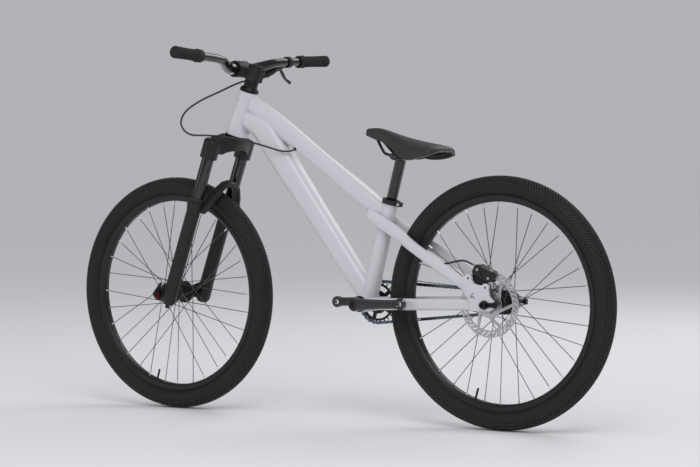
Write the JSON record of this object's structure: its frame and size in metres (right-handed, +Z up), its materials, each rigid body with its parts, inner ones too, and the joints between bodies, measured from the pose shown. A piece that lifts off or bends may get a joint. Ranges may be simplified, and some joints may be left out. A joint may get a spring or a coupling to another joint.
{
  "type": "dirt jump bike",
  "caption": "Hardtail dirt jump bicycle with a sloping welded frame, short travel suspension fork, single gear chain drive, low saddle and a rear disc brake.",
  "frame": {"origin": "on the ground midway between the two axles, centred on the middle plane", "axes": "+X towards the front wheel, +Y to the rider's left, +Z up"},
  "size_m": [1.596, 0.6556, 0.9343],
  "materials": {
    "frame_paint": "satin cool white paint",
    "black_parts": "satin black anodised",
    "brake_black": "semi gloss black",
    "cockpit_black": "matte black",
    "fork_black": "matte black",
    "fork_rubber": "matte",
    "stanchion_gloss": "polished black hard coat",
    "post_gloss": "gloss black",
    "rim_black": "satin black",
    "hub_black": "satin black",
    "crank_black": "satin black",
    "rotor_steel": "brushed",
    "chain_steel": "oiled steel",
    "pad_steel": "plain",
    "axle_red": "dark red anodised",
    "tyre_rubber": "matte",
    "grip_rubber": "matte ribbed",
    "saddle_cover": "smooth synthetic",
    "hose_black": "satin"
  },
  "bodies": {
    "frame": {"head_tube": "frame_paint", "top_tube": "frame_paint", "down_tube": "frame_paint", "seat_tube": "frame_paint", "bottom_bracket_shell": "frame_paint", "headset_upper_cup": "black_parts", "headset_lower_cup": "black_parts", "seat_clamp": "black_parts", "rear_axle": "black_parts", "brake_caliper": "brake_black", "caliper_bracket": "brake_black", "brake_hose": "hose_black", "brake_hose_rear": "hose_black", "chainstay_left": "frame_paint", "chainstay_right": "frame_paint", "seatstay_left": "frame_paint", "seatstay_right": "frame_paint", "dropout_left": "frame_paint", "dropout_right": "frame_paint", "tensioner_left": "black_parts", "tensioner_right": "black_parts", "bb_cup_left": "black_parts", "bb_cup_right": "black_parts", "chain": "chain_steel"},
    "steering": {"fork_crown": "fork_black", "headset_spacers": "black_parts", "stem": "cockpit_black", "stem_faceplate": "cockpit_black", "stem_cap": "cockpit_black", "stanchion_left": "stanchion_gloss", "stanchion_right": "stanchion_gloss", "handlebar": "cockpit_black", "grip_left": "grip_rubber", "grip_right": "grip_rubber", "brake_lever_body": "brake_black"},
    "fork_slider": {"fork_lowers": "fork_black", "seal_left": "fork_rubber", "seal_right": "fork_rubber", "front_axle": "axle_red"},
    "front_wheel": {"front_tyre": "tyre_rubber", "front_rim": "rim_black", "front_hub": "hub_black"},
    "rear_wheel": {"rear_tyre": "tyre_rubber", "rear_rim": "rim_black", "rear_hub": "hub_black", "brake_rotor": "rotor_steel"},
    "sprocket": {"sprocket": "chain_steel"},
    "cranks": {"crank_spindle": "crank_black", "crank_arm_left": "crank_black", "crank_arm_right": "crank_black", "chainring": "crank_black"},
    "seat": {"seatpost": "post_gloss", "saddle_rails": "pad_steel", "rail_clamp": "black_parts", "saddle": "saddle_cover"},
    "lever_blade": {"brake_lever_blade": "brake_black"},
    "inner_pad": {"brake_pad_inner": "pad_steel"},
    "outer_pad": {"brake_pad_outer": "pad_steel"},
    "axle_lever": {"axle_lever": "black_parts"},
    "rebound_knob": {"rebound_knob": "black_parts"}
  },
  "joints": [
    {"name": "steering", "type": "hinge", "parent": "frame", "child": "steering", "pos_m": [0.2483, 0, 0.8303], "axis": [-0.342, 0, 0.9397], "range_deg": [-75, 75], "deforming": ["brake_hose"]},
    {"name": "fork_travel", "type": "slide", "parent": "steering", "child": "fork_slider", "axis": [-0.342, 0, 0.9397], "range_m": [0, 0.08], "stiffness_N_per_m": 8000, "springref_m": -0.01},
    {"name": "front_wheel_spin", "type": "hinge", "parent": "fork_slider", "child": "front_wheel", "pos_m": [0.4925, 0, 0.3055], "axis": [0, 1, 0], "continuous": true},
    {"name": "rear_wheel_spin", "type": "hinge", "parent": "frame", "child": "rear_wheel", "pos_m": [-0.4925, 0, 0.3055], "axis": [0, 1, 0], "continuous": true},
    {"name": "crank_spin", "type": "hinge", "parent": "frame", "child": "cranks", "pos_m": [-0.11365, 0, 0.295], "axis": [0, 1, 0], "continuous": true, "deforming": ["chain"]},
    {"name": "sprocket_spin", "type": "hinge", "parent": "frame", "child": "sprocket", "pos_m": [-0.4925, 0, 0.3055], "axis": [0, 1, 0], "continuous": true},
    {"name": "brake_lever", "type": "hinge", "parent": "steering", "child": "lever_blade", "pos_m": [0.26204, -0.15, 0.89698], "axis": [-0.7716, 0, -0.6361], "range_deg": [0, 20], "stiffness_Nm_per_rad": 1.5, "springref_deg": -14.32},
    {"name": "inner_pad_travel", "type": "slide", "parent": "frame", "child": "inner_pad", "axis": [0, 1, 0], "range_m": [0, 0.0005]},
    {"name": "outer_pad_travel", "type": "slide", "parent": "frame", "child": "outer_pad", "axis": [0, -1, 0], "range_m": [0, 0.0005]},
    {"name": "seatpost_height", "type": "slide", "parent": "frame", "child": "seat", "axis": [-0.2723, 0, 0.9622], "range_m": [-0.08, 0.05]},
    {"name": "axle_lever_flip", "type": "hinge", "parent": "fork_slider", "child": "axle_lever", "pos_m": [0.4925, 0.0946, 0.3055], "axis": [-0.809, 0, -0.5878], "range_deg": [0, 90]},
    {"name": "rebound_turn", "type": "hinge", "parent": "fork_slider", "child": "rebound_knob", "pos_m": [0.46657, 0.072, 0.27943], "axis": [-0.342, 0, 0.9397], "range_deg": [-160, 160]}
  ],
  "couplings": [
    {"joint": "sprocket_spin", "follows": "crank_spin", "ratio": 2.1667},
    {"joint": "inner_pad_travel", "follows": "brake_lever", "m_per_rad": 0.0014},
    {"joint": "outer_pad_travel", "follows": "brake_lever", "m_per_rad": 0.0014}
  ]
}
